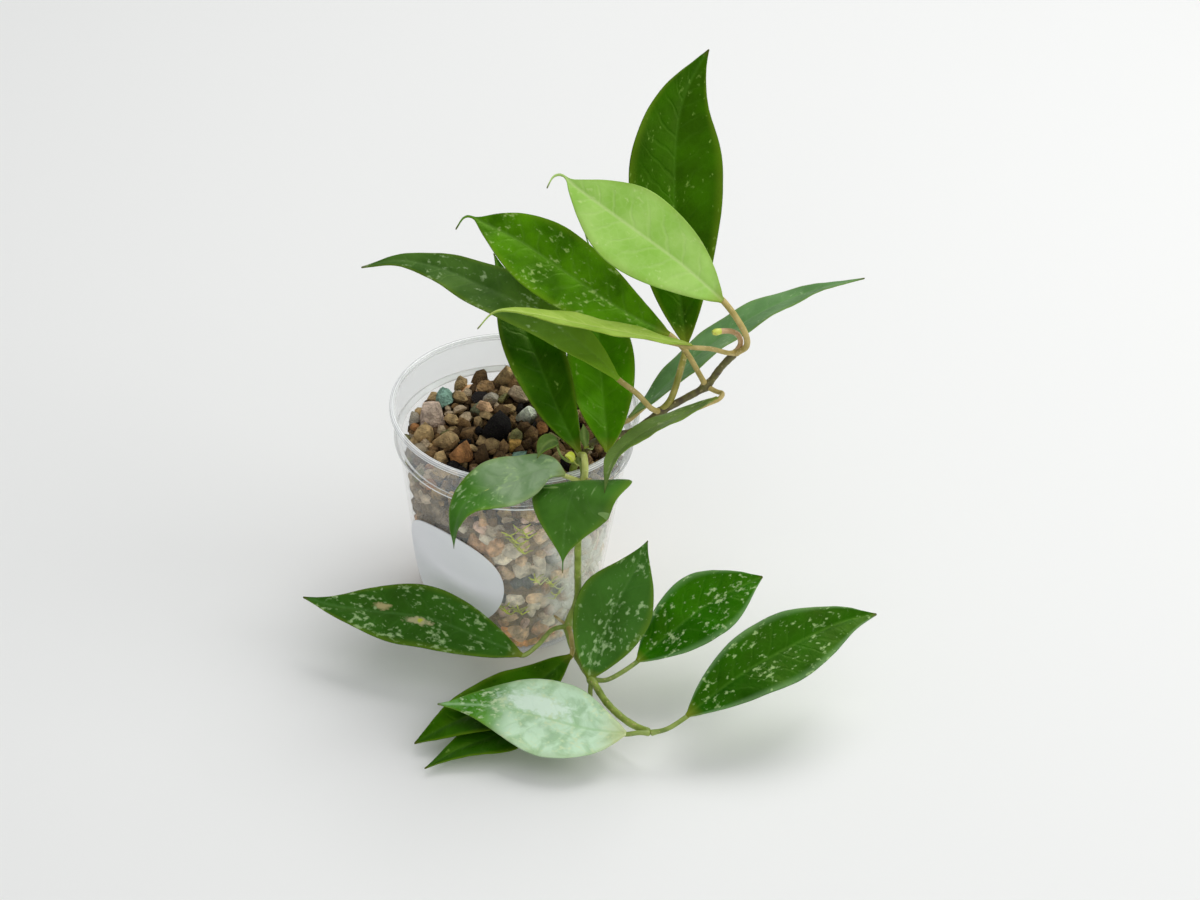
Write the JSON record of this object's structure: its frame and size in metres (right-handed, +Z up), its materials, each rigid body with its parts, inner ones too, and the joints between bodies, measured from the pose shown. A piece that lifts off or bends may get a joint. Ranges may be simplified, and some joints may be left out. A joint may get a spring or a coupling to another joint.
{
  "type": "potted hoya plant",
  "caption": "Small vining houseplant with long glossy pointed leaves on two stems, rooted in gravel in a clear tapered plastic nursery pot with a round blank label.",
  "frame": {"origin": "centre of the pot's underside, on the surface that it stands on", "axes": "+Z up along the pot's axis, +X to the right and -Y towards the viewer, with the label and the trailing stem in front"},
  "size_m": [0.1836, 0.1475, 0.1802],
  "materials": {
    "clear_plastic": "thin frosted clear polypropylene, moulded",
    "sticker_paper": "matt white sticker paper",
    "gravel": "rough mixed pumice and lava gravel",
    "woody_stem": "smooth brown-green bark",
    "green_stem": "smooth green stem",
    "dark_leaf": "glossy dark green leaf with pale flecks",
    "bright_leaf": "glossy bright green leaf with cream flecks",
    "pale_leaf": "satin pale green young leaf",
    "fresh_leaf": "yellow-green new growth"
  },
  "bodies": {
    "root": {"pot": "clear_plastic", "label": "sticker_paper", "gravel": "gravel", "upper_stem": "woody_stem", "lower_stem": "green_stem", "upper_leaf_1": "dark_leaf", "upper_leaf_2": "pale_leaf", "upper_leaf_3": "dark_leaf", "upper_leaf_4": "dark_leaf", "upper_leaf_5": "pale_leaf", "upper_leaf_6": "dark_leaf", "upper_leaf_7": "dark_leaf", "middle_leaf_1": "dark_leaf", "middle_leaf_2": "dark_leaf", "rim_leaf_1": "dark_leaf", "rim_leaf_2": "dark_leaf", "lower_leaf_1": "dark_leaf", "lower_leaf_2": "dark_leaf", "lower_leaf_3": "dark_leaf", "lower_leaf_4": "bright_leaf", "lower_leaf_5": "bright_leaf", "lower_leaf_6": "dark_leaf", "lower_leaf_7": "dark_leaf", "folded_leaf": "dark_leaf", "young_leaf": "fresh_leaf", "sprout_leaf": "fresh_leaf"}
  },
  "joints": []
}
